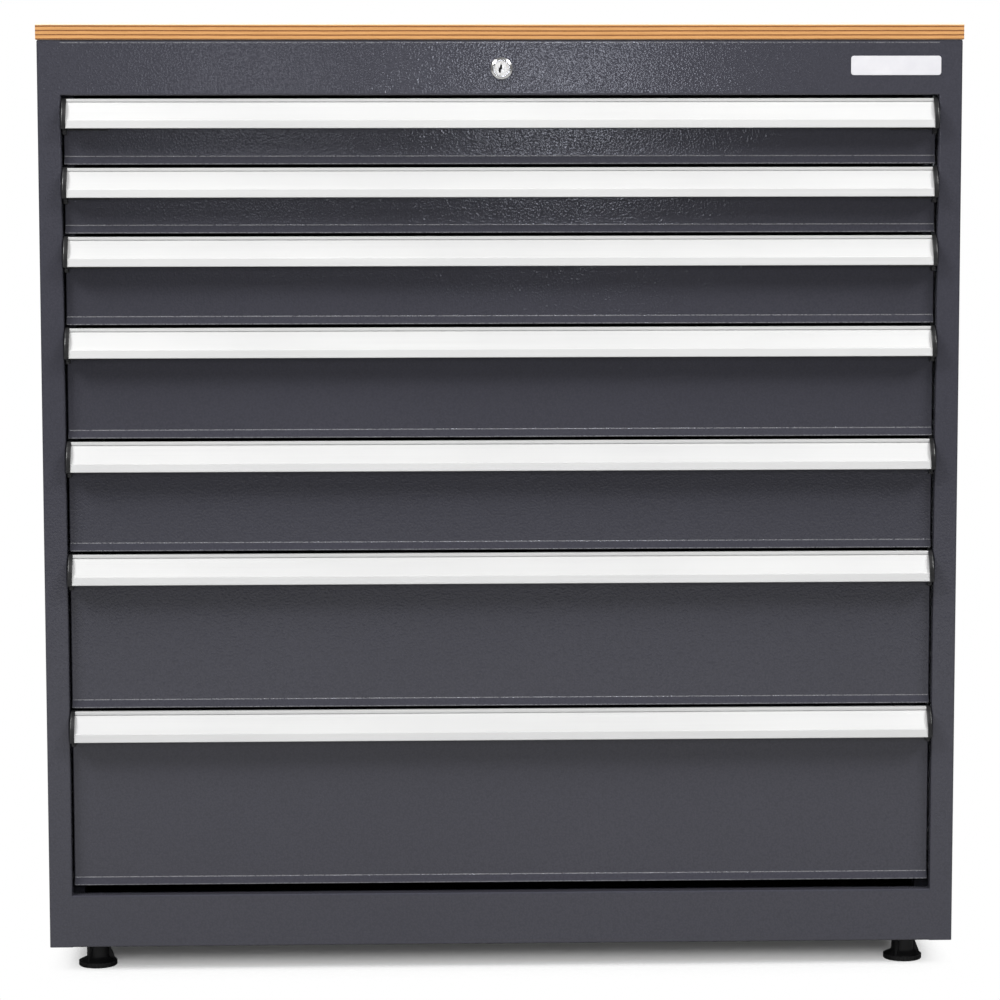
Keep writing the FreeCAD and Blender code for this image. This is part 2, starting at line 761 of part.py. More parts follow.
def make_end_caps(number):
    """Moulded caps on the handle's ends, each with a tongue that lies in the profile."""
    body = new_body(f"drawer_{number}_end_caps")
    top = front_height(number)
    nose = f"(-1 * {FRONT_REACH})"
    back = "dims.front_recess"
    drop = "(dims.handle_height + dims.cap_drop)"
    section = new_sketch(body, "YZ_Plane", HANDLE_HALF)
    draw_outline(section, [
        (back, f"{top} + dims.cap_rise"),
        ("dims.handle_set + dims.cap_set", f"{top} + dims.cap_rise", "-dims.cap_crown"),
        (nose, f"{top} - dims.cap_nose_drop"),
        (f"{nose} + dims.cap_tuck", f"{top} - dims.handle_height - dims.cap_skirt"),
        ("dims.handle_set", f"{top} - dims.handle_height - dims.tongue_low"),
        ("dims.handle_set", f"{top} - {drop}"),
        (back, f"{top} - {drop}"),
    ])
    pad(body, section, "dims.cap_thick")
    round_edges(body, "dims.cap_round", {"x": CAP_HALF})
    wall_face = f"({back} - dims.handle_wall)"
    tongue_low = f"({top} - dims.handle_height - dims.tongue_low)"
    tongue = new_sketch(body, "YZ_Plane", f"{HANDLE_HALF} - dims.tongue_length")
    draw_rectangle(
        tongue, f"{wall_face} - dims.tongue_thick", wall_face,
        tongue_low, f"{tongue_low} + dims.tongue_height",
    )
    pad(body, tongue, "dims.tongue_length")
    mirror_all(body)
    return place(body, cell_level(number))


def make_lock_housing():
    """Lock barrel behind a rounded bezel, bored for the plug."""
    body = new_body("lock_housing")
    bore = "(dims.plug_radius + dims.plug_play)"
    outline = new_sketch(body, "YZ_Plane")
    draw_outline(outline, [
        ("dims.barrel_length", bore),
        ("-1 * dims.bezel_height", bore),
        ("-1 * dims.bezel_height", "dims.bezel_radius - dims.bezel_bevel"),
        ("-1 * dims.bezel_height + dims.bezel_bevel", "dims.bezel_radius"),
        ("0", "dims.bezel_radius"),
        ("0", "dims.barrel_radius"),
        ("dims.barrel_length", "dims.barrel_radius"),
    ])
    revolve(body, outline)
    return place(body, LOCK_LEVEL)


def make_lock_plug():
    """Turning plug with a stepped keyway and a tail for the cam."""
    body = new_body("lock_plug")
    front = "(dims.plug_sink - dims.bezel_height)"
    outline = new_sketch(body, "YZ_Plane")
    draw_outline(outline, [
        (front, "0"),
        (CAM_BACK, "0"),
        (CAM_BACK, "dims.tail_radius"),
        (PLUG_BACK, "dims.tail_radius"),
        (PLUG_BACK, "dims.plug_radius"),
        (front, "dims.plug_radius"),
    ])
    revolve(body, outline)
    keyway = new_sketch(body, "XZ_Plane", front)
    wide = "dims.key_width"
    tall = "dims.key_height"
    draw_outline(keyway, [
        (f"-0.5 * {wide}", f"-0.5 * {tall}"),
        (f"0.1 * {wide}", f"-0.5 * {tall}"),
        (f"0.1 * {wide}", f"-0.1 * {tall}"),
        (f"0.5 * {wide}", f"-0.1 * {tall}"),
        (f"0.5 * {wide}", f"0.5 * {tall}"),
        (f"-0.1 * {wide}", f"0.5 * {tall}"),
        (f"-0.1 * {wide}", f"0.15 * {tall}"),
        (f"-0.5 * {wide}", f"0.15 * {tall}"),
    ])
    pocket(body, keyway, "dims.key_depth")
    return place(body, LOCK_LEVEL)


def make_lock_cam():
    """Disc on the plug's tail, with the pin that moves the rod."""
    body = new_body("lock_cam")
    disc = new_sketch(body, "XZ_Plane", PLUG_BACK)
    draw_circle(disc, "0", "0", "dims.cam_radius")
    draw_circle(disc, "0", "0", "dims.tail_radius")
    pad(body, disc, "dims.cam_thick")
    pin = new_sketch(body, "XZ_Plane", CAM_BACK)
    draw_circle(pin, f"{LOCK_TRAVEL} / 2", f"-0.5 * {LOCK_TRAVEL}", "dims.cam_pin_radius")
    pad(body, pin, "dims.rod_clear + dims.rod_thick + dims.pin_proud")
    return place(body, LOCK_LEVEL)


def make_lock_rod():
    """Flat rod in the header. The cam's pin moves it across, and its sloping slot lifts the bar."""
    body = new_body("lock_rod")
    low = f"({ROD_MIDDLE} - dims.rod_height / 2)"
    high = f"({ROD_MIDDLE} + dims.rod_height / 2)"
    slot_radius = "(dims.bar_pin_radius + dims.bar_play)"
    margin = f"({slot_radius} + dims.rod_end_margin)"
    end = f"({BAR_MIDDLE} + {LOCK_TRAVEL} + {margin})"
    neck = f"({BAR_MIDDLE} - {margin} - dims.rod_end_margin)"
    strip = new_sketch(body, "XZ_Plane", ROD_FRONT)
    draw_outline(strip, [
        ("-1 * dims.rod_tail", low),
        (neck, low),
        (neck, f"{BAR_PIN_LEVEL} - {margin}"),
        (end, f"{BAR_PIN_LEVEL} - {margin}"),
        (end, f"{BAR_PIN_LEVEL} + {LOCK_TRAVEL} + {margin}"),
        (neck, f"{BAR_PIN_LEVEL} + {LOCK_TRAVEL} + {margin}"),
        (neck, high),
        ("-1 * dims.rod_tail", high),
    ])
    pad(body, strip, "dims.rod_thick")
    half_slot = "(dims.cam_pin_radius + dims.bar_play)"
    slot = new_sketch(body, "XZ_Plane", ROD_FRONT)
    draw_rectangle(
        slot, f"{LOCK_TRAVEL} / 2 - {half_slot}", f"{LOCK_TRAVEL} / 2 + {half_slot}",
        f"{LOCK_LEVEL} - dims.cam_throw - {half_slot}",
        f"{LOCK_LEVEL} - {LOCK_TRAVEL} / 2 + {half_slot}",
    )
    pocket(body, slot, "dims.rod_thick")
    slope = new_sketch(body, "XZ_Plane", ROD_FRONT)
    side = f"({slot_radius} / sqrt(2))"
    right = f"({BAR_MIDDLE} + {LOCK_TRAVEL})"
    upper = f"({BAR_PIN_LEVEL} + {LOCK_TRAVEL})"
    draw_outline(slope, [
        (f"{BAR_MIDDLE} + {side}", f"{BAR_PIN_LEVEL} - {side}"),
        (f"{right} + {side}", f"{upper} - {side}", slot_radius),
        (f"{right} + {side}", f"{upper} + {side}", slot_radius),
        (f"{right} - {side}", f"{upper} + {side}"),
        (f"{BAR_MIDDLE} - {side}", f"{BAR_PIN_LEVEL} + {side}", slot_radius),
        (f"{BAR_MIDDLE} - {side}", f"{BAR_PIN_LEVEL} - {side}", slot_radius),
    ])
    pocket(body, slope, "dims.rod_thick")
    return place(body)


def make_lock_bar():
    """Flat bar behind the right stile, with a tab for each drawer's catch and a pin in the rod's slot."""
    body = new_body("lock_bar")
    lowest = f"({cell_level(DRAWERS)} + dims.guide_width / 2)"
    highest = f"({BAR_PIN_LEVEL} + dims.bar_pin_radius + dims.rod_end_margin)"
    strip = new_sketch(body, "XZ_Plane", BAR_FRONT)
    draw_rectangle(strip, BAR_INNER, BAR_OUTER, lowest, highest)
    pad(body, strip, "dims.bar_thick")
    tip = f"({TRAY_OUTER} + dims.catch_reach - dims.tab_lap)"
    tabs = new_sketch(body, "XZ_Plane", BAR_FRONT)
    for number in range(1, DRAWERS + 1):
        low = f"({cell_level(number)} + {TAB_LOW})"
        draw_rectangle(tabs, tip, BAR_MIDDLE, low, f"{low} + dims.tab_height")
    pad(body, tabs, "dims.bar_thick")
    pin = new_sketch(body, "XZ_Plane", f"{ROD_FRONT} - dims.pin_proud")
    draw_circle(pin, BAR_MIDDLE, BAR_PIN_LEVEL, "dims.bar_pin_radius")
    pad(body, pin, f"{BAR_FRONT} - {ROD_FRONT} + dims.pin_proud")
    return place(body)


def make_lock_guides():
    """Brackets: two hang from the top plate and hold the rod, three on the side wall hold the bar."""
    body = new_body("lock_guides")
    play = "dims.bar_play"
    wall = "dims.guide_wall"
    low = f"({ROD_MIDDLE} - dims.rod_height / 2)"
    high = f"({ROD_MIDDLE} + dims.rod_height / 2)"
    for start in ("dims.guide_near", f"({HALF_OPENING} - dims.guide_far)"):
        block = new_sketch(body, "YZ_Plane", start)
        draw_rectangle(
            block, f"{ROD_FRONT} - {play} - {wall}", f"{ROD_BACK} + {play} + {wall}",
            f"{low} - {play} - {wall}", f"{BODY_HEIGHT} - {SKIN}",
        )
        draw_rectangle(
            block, f"{ROD_FRONT} - {play}", f"{ROD_BACK} + {play}", f"{low} - {play}", f"{high} + {play}",
        )
        pad(body, block, "dims.guide_width")
    for number in (1, 4, 7):
        level = f"({cell_level(number)} + dims.slide_level - dims.guide_width)"
        ring = new_sketch(body, "XY_Plane", level)
        draw_rectangle(
            ring, f"{BAR_INNER} - {play} - dims.guide_side", f"{HALF_WIDTH} - {SKIN}",
            f"{BAR_FRONT} - {play} - {wall}", f"{BAR_BACK} + {play} + {wall}",
        )
        draw_rectangle(
            ring, f"{BAR_INNER} - {play}", f"{BAR_OUTER} + {play}",
            f"{BAR_FRONT} - {play}", f"{BAR_BACK} + {play}",
        )
        pad(body, ring, "dims.guide_width")
    return place(body)


def make_foot(name, across, back):
    """Levelling foot: a ribbed moulded disc and neck on a stud. Its own origin is on the floor."""
    body = new_body(name)
    outline = new_sketch(body, "XZ_Plane")
    rim = "(dims.rim_height + dims.rim_bevel)"
    draw_outline(outline, [
        ("0", "0"),
        ("dims.disc_radius - dims.rim_bevel", "0"),
        ("dims.disc_radius", "dims.rim_bevel"),
        ("dims.disc_radius", "dims.rim_height"),
        ("dims.disc_radius - dims.dome_set", rim),
        ("dims.neck_radius + dims.dome_set", f"{rim} + dims.dome_rise"),
        ("dims.neck_radius", f"{rim} + dims.dome_rise + dims.dome_set"),
        ("dims.neck_radius", "dims.foot_height"),
        ("dims.stud_radius", "dims.foot_height"),
        ("dims.stud_radius", "dims.foot_height + dims.stud_length"),
        ("0", "dims.foot_height + dims.stud_length"),
    ])
    revolve(body, outline, "V_Axis")
    rib = new_sketch(body, "XZ_Plane")
    draw_outline(rib, [
        ("dims.neck_radius - dims.dome_set", "dims.rim_height"),
        ("dims.disc_radius - dims.dome_set", "dims.rim_height"),
        ("dims.neck_radius + dims.rim_bevel", "dims.foot_height - dims.rib_drop"),
        ("dims.neck_radius - dims.dome_set", "dims.foot_height - dims.rib_drop"),
    ])
    gusset = pad(body, rib, "dims.rib_thick", both_ways=True)
    polar_copies(body, gusset, "dims.rib_count")
    notch = new_sketch(body, "XY_Plane", "0")
    draw_circle(notch, "dims.disc_radius + dims.knurl_set", "0", "dims.knurl_radius")
    groove = pocket(body, notch, rim)
    polar_copies(body, groove, "dims.knurl_count")
    return place(body, "(-1 * dims.foot_height)", across, back)


pieces = [
    make_worktop(),
    make_side("side_left", "-1"),
    make_side("side_right", "1"),
    make_back_panel(),
    make_top_pan(),
    make_base_pan(),
    make_uprights(),
    make_fixed_rails(),
    make_lock_housing(),
    make_lock_plug(),
    make_lock_cam(),
    make_lock_rod(),
    make_lock_bar(),
    make_lock_guides(),
]
for name, across, back in foot_places():
    pieces.append(make_foot(name, across, back))
for number in range(1, DRAWERS + 1):
    pieces += [
        make_front(number),
        make_tray(number),
        make_handle(number),
        make_end_caps(number),
        make_drawer_rails(number),
        make_slide_mid(number),
    ]
doc.recompute()

for item in doc.Objects:
    if "Invalid" in item.State or "Error" in item.State:
        raise RuntimeError(f"{item.Name} failed: {item.State}")
    if item.TypeId == "PartDesign::Pocket":
        if item.Shape.Volume > item.BaseFeature.Shape.Volume - 0.001:
            raise RuntimeError(f"{item.Name} cuts nothing")
for piece in pieces:
    if piece.Shape.isNull() or not piece.Shape.isValid():
        raise RuntimeError(f"{piece.Label} has no sound shape")

os.makedirs("parts", exist_ok=True)
for piece in pieces:
    piece.Shape.exportStep(f"parts/{piece.Label}.step")
    print(piece.Label, len(piece.Shape.Solids), round(piece.Shape.Volume / 1000, 1), "cm3")
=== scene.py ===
"""Looks of the tool cabinet: its materials, its finer shapes, the studio and the camera.

Shapes are written in millimetres in the cabinet's own frame: x to the right, y into the cabinet from
the plane of the front stiles, z up from the underside of the sheet body. The function `in_row` takes
them to the row's frame in metres.
"""

import json
import math

import bpy
import numpy as np
from mathutils import Matrix, Vector


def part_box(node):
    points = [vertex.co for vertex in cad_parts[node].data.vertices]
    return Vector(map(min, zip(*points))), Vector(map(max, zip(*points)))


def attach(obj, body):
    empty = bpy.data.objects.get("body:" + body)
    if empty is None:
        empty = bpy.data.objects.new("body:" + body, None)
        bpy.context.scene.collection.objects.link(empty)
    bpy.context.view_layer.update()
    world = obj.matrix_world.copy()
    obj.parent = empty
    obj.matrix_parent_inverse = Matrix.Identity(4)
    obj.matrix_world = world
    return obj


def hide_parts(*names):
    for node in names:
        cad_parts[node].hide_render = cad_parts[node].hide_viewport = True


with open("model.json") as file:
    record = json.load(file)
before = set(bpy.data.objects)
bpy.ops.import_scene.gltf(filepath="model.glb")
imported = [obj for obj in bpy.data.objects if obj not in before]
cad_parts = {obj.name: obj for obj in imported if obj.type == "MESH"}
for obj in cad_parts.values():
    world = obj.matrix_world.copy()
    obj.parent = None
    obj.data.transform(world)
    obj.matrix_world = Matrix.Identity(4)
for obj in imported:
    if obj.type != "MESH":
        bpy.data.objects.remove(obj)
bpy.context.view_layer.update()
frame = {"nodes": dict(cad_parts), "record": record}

# Sizes of the cabinet, in millimetres. Drawer 1 is the top one, and halves are measured from the middle
DRAWERS = 7
PITCHES = (75, 75, 100, 125, 125, 175, 200)
FIRST_CELL = 68.5
FRONT_GAP = 3.5
FRONT_HALF = 477.5
HANDLE_HALF = 473.8
CAP_HALF = 479.0
BODY_HEIGHT = 1003.5
LOCK_LEVEL = 972.5
PLUG_FRONT = -2.6

# Where the cabinet's frame stands in the row's frame, in metres, read from one node
FRONT_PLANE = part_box("side_left")[0].y
BODY_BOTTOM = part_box("side_left")[0].z
IN_ROW = np.array([0.0, FRONT_PLANE, BODY_BOTTOM])


def in_row(points):
    """Millimetres in the cabinet's frame to metres in the row's frame: divide, then shift."""
    return np.asarray(points, float) / 1000 + IN_ROW


def cell_level(number):
    """Height of the bottom of a drawer's cell: the first cell's plus the pitches of the drawers below."""
    return FIRST_CELL + sum(PITCHES[number:])


def front_height(number):
    """Height of a drawer's front: its pitch less the gap to the next front."""
    return PITCHES[number - 1] - FRONT_GAP


# Shapes


def unit(vectors):
    """Each row of vectors divided by its own length."""
    return vectors / np.linalg.norm(vectors, axis=-1, keepdims=True)


LEAST_RADIUS = 0.05


def rounded_loop(corners, radii, steps=6, rest=0.12, inset=0.0):
    """A closed line through corners, each replaced by an arc that touches both of its sides.

    With a the half angle between the sides, the arc's centre lies radius / sin(a) along the corner's
    bisector and the arc starts radius / tan(a) along the side. Its points are the spherical mean of
    the two spokes. A point `rest` before and after each arc keeps the flats flat when shaded smooth.

    The line runs with its inside on the left. An inset first moves every side inwards by that much:
    corners go inset / sin(a) along the bisector, and radii shrink by it, or grow where it turns right.
    """
    corners = np.asarray(corners, float)
    before = unit(np.roll(corners, 1, 0) - corners)
    after = unit(np.roll(corners, -1, 0) - corners)
    half = np.arccos(np.clip((before * after).sum(1, keepdims=True), -1, 1)) / 2
    turn = np.sign(before[:, 1] * after[:, 0] - before[:, 0] * after[:, 1])[:, None]
    bisector = unit(before + after) / np.sin(half)
    corners = corners + turn * inset * bisector
    radii = np.maximum(np.asarray(radii, float)[:, None] - turn * inset, LEAST_RADIUS)
    reach = radii / np.tan(half)
    centre = corners + radii * bisector
    first = corners + before * reach - centre
    last = corners + after * reach - centre
    share = np.linspace(0, 1, steps)[None, :, None]
    sweep = (math.pi - 2 * half)[:, None]
    spokes = np.sin((1 - share) * sweep) * first[:, None] + np.sin(share * sweep) * last[:, None]
    arcs = centre[:, None] + spokes / np.sin(sweep)
    lead = (corners + before * (reach + rest))[:, None]
    trail = (corners + after * (reach + rest))[:, None]
    return np.concatenate([lead, arcs, trail], 1).reshape(-1, 2)


def section(corners, radii, steps=6, rest=0.12):
    """A side view to carry: the rounded line through its corners as a function of the inset."""
    return lambda inset=0.0: rounded_loop(corners, radii, steps, rest, inset)


def grid_faces(rows, columns):
    """Quads of a grid of points whose columns close round: each joins (i, j) to (i, j+1) and row i+1."""
    i, j = np.meshgrid(np.arange(rows - 1), np.arange(columns), indexing="ij")
    after = (j + 1) % columns
    here = i * columns
    above = here + columns
    return np.stack([here + j, here + after, above + after, above + j], -1).reshape(-1, 4)


def carried(side_view, left, right, radius_left, radius_right, steps=5, rest=0.12):
    """A section's (y, z) line carried along x from left to right, with both ends rounded.

    Over the angle t from 0 to 90 degrees the line is inset by radius * (1 - sin t) while x leaves
    the end by radius * (1 - cos t). The ends are flat.
    """
    t = np.linspace(0, math.pi / 2, steps)
    ends = []
    for radius in (radius_left, radius_right):
        inset = np.concatenate([[radius + rest], radius * (1 - np.sin(t)), [0.0]])
        away = np.concatenate([[0.0], radius * (1 - np.cos(t)), [radius + rest]])
        ends.append((inset, away))
    inset = np.concatenate([ends[0][0], ends[1][0][::-1]])
    x = np.concatenate([left + ends[0][1], (right - ends[1][1])[::-1]])
    drawn = np.stack([side_view(depth) for depth in inset])
    points = np.concatenate([np.broadcast_to(x[:, None, None], drawn.shape[:2] + (1,)), drawn], 2)
    count = drawn.shape[1]
    sides = grid_faces(len(x), count)
    left_end = np.arange(count)
    right_end = np.arange(count) + (len(x) - 1) * count
    return points.reshape(-1, 3), [sides, right_end[None], left_end[None, ::-1]]


def lathed(profile, steps=96):
    """A line of (radius, y) points turned about the y axis: x = r cos a, z = r sin a, closed round."""
    angle = np.arange(steps) * 2 * math.pi / steps
    radius, depth = np.asarray(profile, float).T
    points = np.stack([
        radius[:, None] * np.cos(angle),
        np.broadcast_to(depth[:, None], (len(depth), steps)),
        radius[:, None] * np.sin(angle),
    ], -1)
    return points.reshape(-1, 3), [grid_faces(len(depth), steps)]


def joined(*parts):
    """Several (points, faces) pairs as one, with the faces' numbers moved on by the points before them."""
    points = []
    faces = []
    count = 0
    for part_points, part_faces in parts:
        points.append(part_points)
        faces += [group + count for group in part_faces]
        count += len(part_points)
    return np.concatenate(points), faces


def mirrored(part):
    """The same shape on the other side of the middle plane: x changes sign and the faces turn over."""
    points, faces = part
    return points * np.array([-1.0, 1.0, 1.0]), [group[:, ::-1] for group in faces]


def moved(part, x=0.0, y=0.0, z=0.0):
    """The same shape moved in the cabinet's frame."""
    return part[0] + np.array([x, y, z]), part[1]


def make_piece(name, part, material, body, nodes=(), sharp=35.0, edge=None):
    """Put a shape into a mesh of its own, dress it and let it ride on its body.

    edge is a number from 0 to 1 for each point, kept as an attribute of that name.
    """
    points, faces = part
    mesh = bpy.data.meshes.new(name)
    mesh.vertices.add(len(points))
    mesh.vertices.foreach_set("co", in_row(points).astype(np.float32).ravel())
    sizes = np.concatenate([np.full(len(group), group.shape[1]) for group in faces])
    corners = np.concatenate([group.ravel() for group in faces])
    mesh.loops.add(len(corners))
    mesh.loops.foreach_set("vertex_index", corners.astype(np.int32))
    mesh.polygons.add(len(sizes))
    mesh.polygons.foreach_set("loop_start", np.concatenate([[0], np.cumsum(sizes)[:-1]]).astype(np.int32))
    mesh.update(calc_edges=True)
    mesh.validate()
    mesh.polygons.foreach_set("use_smooth", np.ones(len(mesh.polygons), bool))
    mesh.set_sharp_from_angle(angle=math.radians(sharp))
    mesh.materials.append(material)
    if edge is not None:
        mesh.attributes.new("edge", "FLOAT", "POINT").data.foreach_set("value", edge.astype(np.float32))
    piece = bpy.data.objects.new(name, mesh)
    bpy.context.scene.collection.objects.link(piece)
    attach(piece, body)
    if nodes:
        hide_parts(*nodes)
    return piece


# Materials


class Term:
    """A socket of a shader's node tree. Arithmetic on it adds the Math nodes that work it out."""

    def __init__(self, shader, socket):
        self.shader = shader
        self.socket = socket

    def math(self, operation, *others):
        return self.shader.node("ShaderNodeMath", {"operation": operation}, [self, *others])

    def __add__(self, other):
        return self.math("ADD", other)

    def __sub__(self, other):
        return self.math("SUBTRACT", other)

    def __rsub__(self, other):
        return self.shader.node("ShaderNodeMath", {"operation": "SUBTRACT"}, [other, self])

    def __mul__(self, other):
        return self.math("MULTIPLY", other)

    def __truediv__(self, other):
        return self.math("DIVIDE", other)

    __radd__ = __add__
    __rmul__ = __mul__


class Shader:
    """A material whose tree is written as expressions and ends in one Principled surface."""

    def __init__(self, name, **settings):
        self.material = bpy.data.materials.new(name)
        self.material.use_nodes = True
        self.tree = self.material.node_tree
        self.surface = self.tree.nodes["Principled BSDF"]
        for socket, value in settings.items():
            self.surface.inputs[socket.replace("_", " ")].default_value = value

    def node(self, kind, settings=None, inputs=None, output=0):
        """Add a node: its settings first, then its sockets' values or links, and give one output back."""
        made = self.tree.nodes.new(kind)
        for name, value in (settings or {}).items():
            if name == "stops":
                while len(made.color_ramp.elements) < len(value):
                    made.color_ramp.elements.new(1.0)
                for element, (place, colour) in zip(made.color_ramp.elements, value):
                    element.position = place
                    element.color = (*colour, 1.0)
            else:
                setattr(made, name, value)
        pairs = inputs.items() if isinstance(inputs, dict) else enumerate(inputs or [])
        for key, value in pairs:
            socket = made.inputs[key]
            if isinstance(value, Term):
                self.tree.links.new(value.socket, socket)
            elif value is not None:
                socket.default_value = value
        return Term(self, made.outputs[output])

    def place(self, scale=(1, 1, 1), shift=(0, 0, 0)):
        """Object coordinates in metres, stretched and moved."""
        inputs = {"Vector": self.node("ShaderNodeTexCoord", output="Object")}
        return self.node("ShaderNodeMapping", {}, {**inputs, "Scale": scale, "Location": shift})

    def axes(self, vector):
        """The x, y and z of a vector as three terms."""
        split = self.tree.nodes.new("ShaderNodeSeparateXYZ")
        self.tree.links.new(vector.socket, split.inputs[0])
        return [Term(self, output) for output in split.outputs]

    def noise(self, vector, scale, detail=2.0, roughness=0.5, distortion=0.0):
        """Cloud noise from 0 to 1."""
        return self.node("ShaderNodeTexNoise", {}, {
            "Vector": vector, "Scale": scale, "Detail": detail,
            "Roughness": roughness, "Distortion": distortion,
        })

    def ramp(self, value, *stops):
        """A colour that runs through stops of (place, colour) as value goes from 0 to 1."""
        return self.node("ShaderNodeValToRGB", {"stops": stops}, {"Fac": value})

    def span(self, value, low, high, first=0.0, last=1.0):
        """value's stretch from low to high laid onto first to last, and held beyond it."""
        return self.node("ShaderNodeMapRange", {"clamp": True}, [value, low, high, first, last])

    def smooth(self, value, low, high):
        """0 at low and 1 at high, which may be the lesser, with an even start and end."""
        easing = {"interpolation_type": "SMOOTHSTEP"}
        return self.node("ShaderNodeMapRange", easing, [value, low, high, 0.0, 1.0])

    def mix(self, share, first, second):
        """Two colours mixed: all first at share 0, all second at 1."""
        made = self.tree.nodes.new("ShaderNodeMix")
        made.data_type = "RGBA"
        for index, value in ((0, share), (6, first), (7, second)):
            if isinstance(value, Term):
                self.tree.links.new(value.socket, made.inputs[index])
            elif index:
                made.inputs[index].default_value = (*value, 1.0)
            else:
                made.inputs[index].default_value = value
        return Term(self, made.outputs[2])

    def bump(self, height, distance, strength=1.0, under=None):
        """Surface normal of a height from 0 to 1 that stands for `distance` metres."""
        return self.node("ShaderNodeBump", {}, {
            "Strength": strength, "Distance": distance, "Height": height, "Normal": under,
        })

    def set(self, **links):
        """Feed terms or numbers into the surface's sockets and give the finished material back."""
        for socket, value in links.items():
            target = self.surface.inputs[socket.replace("_", " ")]
            if isinstance(value, Term):
                self.tree.links.new(value.socket, target)
            else:
                target.default_value = value
        return self.material


DIMPLES_PER_METRE = 480.0
DIMPLE_DEPTH = 0.00010
# Painted highlight line along the bends: its half width and fade in metres, its strength along a given
# level, and its pale colour.
HIGHLIGHT_HALF_WIDTH = 0.0003
HIGHLIGHT_FADE = 0.0005
HIGHLIGHT_LEVEL_SHARE = 0.45
PAINTED_HIGHLIGHT_COLOUR = (0.40, 0.40, 0.42)


def powder_coat(name, colour, highlight_levels=()):
    """Textured powder coat: round dimples some 2 mm apart, whose sides slope about 3 degrees, and grain.

    A dimple's height is the square of the distance to the middle of its cell, so that its slope grows
    evenly outwards and each dimple gives one glint. Along the bends, where the attribute `edge` is 1,
    and along each given level, a painted highlight runs in dashes: a pale, more metallic and rougher
    colour stands in for the bright line that a bend shows, so its shine is real but its pale colour is
    painted highlight. The pigment is paler at a dimple's middle than at its rim, by 8 percent either way
    at most: a faint painted highlight where the dimple's glint falls.
    """
    shader = Shader(name, Specular_IOR_Level=0.45)
    place = shader.place()
    cells = {"Vector": place, "Scale": DIMPLES_PER_METRE, "Smoothness": 0.5}
    reach = shader.node("ShaderNodeTexVoronoi", {"feature": "SMOOTH_F1"}, cells, "Distance")
    dimples = reach * reach
    grain = shader.noise(place, 1300.0, 1.0, 0.5)
    dust = shader.noise(place, 3.0, 4.0, 0.6)
    # Paler at each dimple's middle: a faint painted highlight where the dimple's glint falls; dust and
    # grain are random tone.
    shade = shader.ramp(
        dust * 0.4 + grain * 0.2 + (1.0 - reach) * 0.7,
        (0.50, tuple(0.92 * c for c in colour)),
        (0.90, tuple(1.08 * c for c in colour)),
    )
    # Painted highlight: pale, more metallic and rougher dashes along the bends and the given levels stand
    # in for the bright line a bend shows; the shine is real, the pale colour is painted.
    dashes = shader.noise(shader.place((700.0, 900.0, 900.0)), 1.0, 1.0, 0.5)
    highlight_mask = shader.node("ShaderNodeAttribute", {"attribute_name": "edge"}, output="Fac")
    height = shader.axes(place)[2] - BODY_BOTTOM
    for level in highlight_levels:
        away = (height - level / 1000).math("ABSOLUTE")
        level_highlight = 1.0 - shader.span(away, HIGHLIGHT_HALF_WIDTH, HIGHLIGHT_HALF_WIDTH + HIGHLIGHT_FADE)
        highlight_mask = highlight_mask + level_highlight * HIGHLIGHT_LEVEL_SHARE
    painted_highlight = highlight_mask * shader.span(dashes, 0.34, 0.66)
    return shader.set(
        Base_Color=shader.mix(painted_highlight, shade, PAINTED_HIGHLIGHT_COLOUR),
        Metallic=painted_highlight * 0.85,
        Roughness=shader.span(grain, 0.3, 0.7, 0.10, 0.13) + painted_highlight * 0.13,
        Normal=shader.bump(grain, 0.00001, 1.0, shader.bump(dimples, DIMPLE_DEPTH)),
    )


def drawn_aluminium():
    """Anodised profile: lines of drawing along x, a few microns deep, over a pale satin metal."""
    shader = Shader("satin anodised grip", Metallic=0.25)
    lines = shader.noise(shader.place((4.0, 2600.0, 2600.0)), 1.0, 3.0, 0.6)
    cloud = shader.noise(shader.place((0.6, 1.0, 1.0)), 12.0, 3.0, 0.5)
    shade = shader.ramp(lines * 0.5 + cloud * 0.5, (0.3, (0.47, 0.47, 0.47)), (0.7, (0.52, 0.52, 0.516)))
    return shader.set(
        Base_Color=shade,
        Roughness=shader.span(lines, 0.3, 0.7, 0.34, 0.46),
        Normal=shader.bump(lines, 0.00001, 0.35),
    )


def moulded_black(name, sheen, gloss):
    """Black polyamide with spark-eroded grain."""
    shader = Shader(name, Specular_IOR_Level=gloss)
    grain = shader.noise(shader.place(), 1500.0, 2.0, 0.6)
    cloud = shader.noise(shader.place(), 40.0, 3.0, 0.5)
    shade = shader.ramp(cloud, (0.3, (0.006, 0.006, 0.0065)), (0.7, (0.012, 0.012, 0.0125)))
    return shader.set(
        Base_Color=shade,
        Roughness=shader.span(cloud, 0.3, 0.7, sheen - 0.05, sheen + 0.08),
        Normal=shader.bump(grain, 0.00005, 0.5),
    )


def zinc_plate():
    """Bright zinc: bluish grey with a soft spangle and lines of rolling."""
    shader = Shader("zinc-plated steel", Metallic=0.9)
    cells = shader.node("ShaderNodeTexVoronoi", {}, {"Vector": shader.place(), "Scale": 130.0}, "Distance")
    lines = shader.noise(shader.place((900.0, 30.0, 900.0)), 1.0, 3.0, 0.6)
    cloud = shader.noise(shader.place(), 9.0, 4.0, 0.6)
    shade = shader.ramp(
        cells * 0.35 + cloud * 0.65, (0.25, (0.42, 0.43, 0.45)), (0.75, (0.60, 0.61, 0.63)),
    )
    return shader.set(
        Base_Color=shade,
        Roughness=shader.span(lines * 0.5 + cloud * 0.5, 0.3, 0.7, 0.26, 0.42),
        Normal=shader.bump(lines, 0.00001, 0.4),
    )


# Where the lock's nickel turns black as painted shade: never, or from just behind the plug's face,
# darkening over a millimetre.
NEVER = 1.0
JUST_INSIDE = 0.0003
SHADE_DEPTH = 0.001


